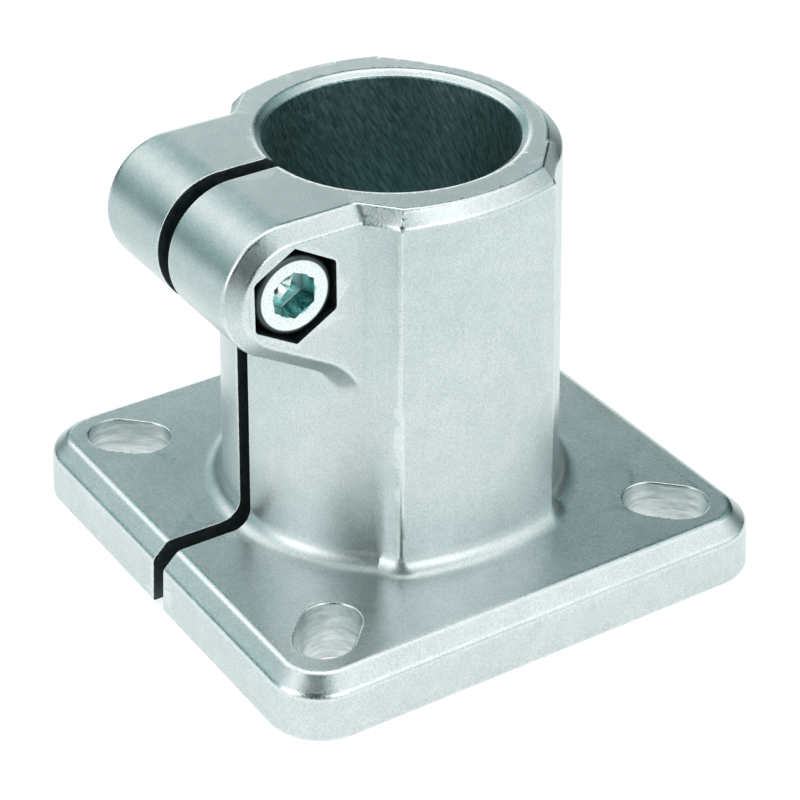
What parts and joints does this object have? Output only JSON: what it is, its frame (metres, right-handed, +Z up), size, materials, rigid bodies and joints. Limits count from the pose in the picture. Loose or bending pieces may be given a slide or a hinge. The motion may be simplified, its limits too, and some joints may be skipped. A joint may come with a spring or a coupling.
{
  "type": "tube clamp base flange",
  "caption": "Square foot flange with an upright split collar that clamps round a tube, closed by a socket head screw and hex nut, with slotted fixing holes.",
  "frame": {"origin": "on the tube's axis, at the underside of the foot plate", "axes": "+Z up the tube's axis; the slit and the two clamp ears are on the -X side; the clamp screw lies along Y with its head on the -Y side"},
  "size_m": [0.067, 0.067, 0.055],
  "materials": {
    "cast_aluminium": "fine blasted",
    "zinc_plated_steel": "bright zinc plated"
  },
  "bodies": {
    "root": {"flange_body": "cast_aluminium", "clamp_screw": "zinc_plated_steel", "clamp_nut": "zinc_plated_steel"}
  },
  "joints": []
}
